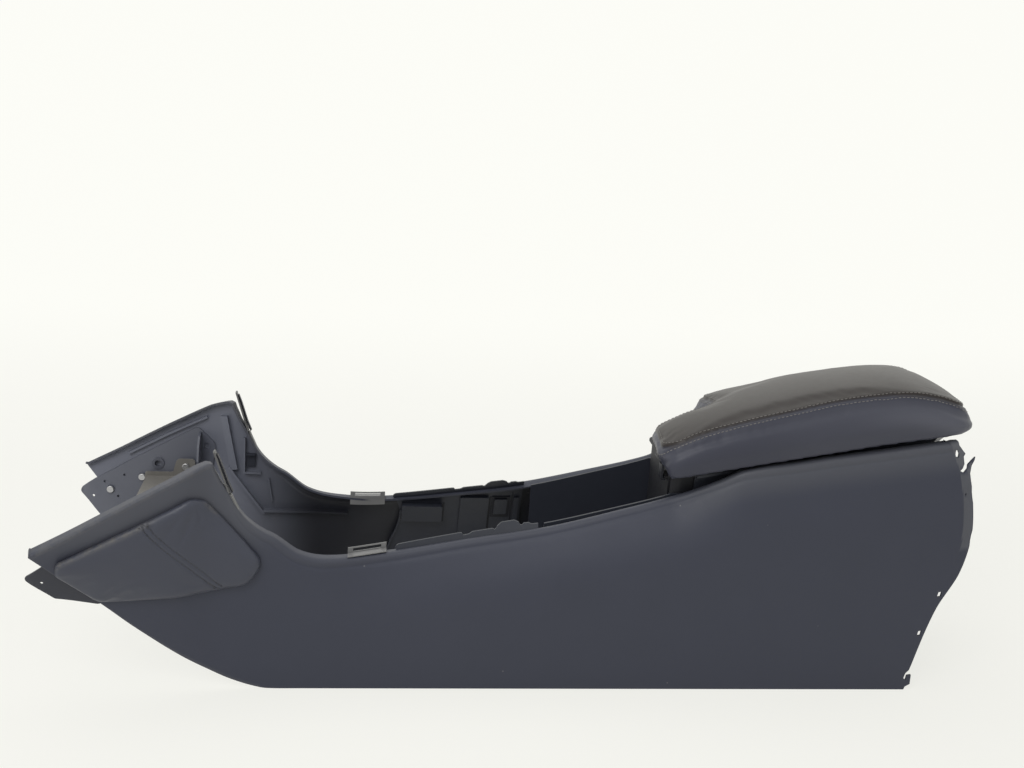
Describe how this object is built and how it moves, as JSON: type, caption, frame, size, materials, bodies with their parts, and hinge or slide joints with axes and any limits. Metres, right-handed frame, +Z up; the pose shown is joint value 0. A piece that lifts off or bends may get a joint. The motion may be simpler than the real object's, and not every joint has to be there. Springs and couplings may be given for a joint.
{
  "type": "car center console",
  "caption": "Full-length car centre console: two flared side panels, padded knee rests, open shifter well and a hinged leather armrest over a storage bin.",
  "frame": {"origin": "middle of the overall length and width, on the ground", "axes": "+X towards the car's rear (the armrest end), +Y towards the car's right, +Z up"},
  "size_m": [1.0842, 0.3104, 0.3757],
  "materials": {
    "panel_plastic": "fine grain, satin",
    "pad_leather": "grained leather, double stitched",
    "armrest_leather": "grained leather with two stitched seams",
    "inner_plastic": "plain moulded",
    "clip_steel": "plated",
    "brace_metal": "plated, dull",
    "bracket_steel": "plated, dull",
    "screw_steel": "plated",
    "rubber": "matt"
  },
  "bodies": {
    "console": {"left_side_panel": "panel_plastic", "left_knee_pad": "pad_leather", "left_front_bracket": "inner_plastic", "left_bracket_screws": "screw_steel", "left_brace_screws": "screw_steel", "left_rim_clip": "clip_steel", "left_wing_clip": "clip_steel", "left_liner": "inner_plastic", "left_foot_screws": "screw_steel", "right_side_panel": "panel_plastic", "right_knee_pad": "pad_leather", "right_front_bracket": "inner_plastic", "right_bracket_screws": "screw_steel", "right_brace_screws": "screw_steel", "right_rim_clip": "clip_steel", "right_wing_clip": "clip_steel", "right_liner": "inner_plastic", "right_foot_screws": "screw_steel", "front_brace": "brace_metal", "cross_member": "bracket_steel", "inner_carrier": "inner_plastic", "storage_bin": "inner_plastic", "bin_mat": "rubber", "lid_bumpers": "rubber", "hinge_plate": "bracket_steel", "hinge_plate_screws": "screw_steel", "hinge_pin": "screw_steel", "latch_striker": "bracket_steel"},
    "armrest": {"armrest_pad": "armrest_leather", "armrest_core": "inner_plastic", "armrest_base": "inner_plastic", "hinge_leaf": "bracket_steel", "hinge_leaf_screws": "screw_steel", "armrest_screws": "screw_steel", "latch_pin": "screw_steel", "latch_spring": "screw_steel"},
    "latch": {"latch_lever": "inner_plastic"}
  },
  "joints": [
    {"name": "armrest_hinge", "type": "hinge", "parent": "console", "child": "armrest", "pos_m": [0.518, 0, 0.32495], "axis": [0, 1, 0], "range_deg": [0, 70]},
    {"name": "latch_pivot", "type": "hinge", "parent": "armrest", "child": "latch", "pos_m": [0.176, -0.04, 0.26968], "axis": [0, 1, 0], "range_deg": [0, 12], "stiffness_Nm_per_rad": 0.05}
  ]
}
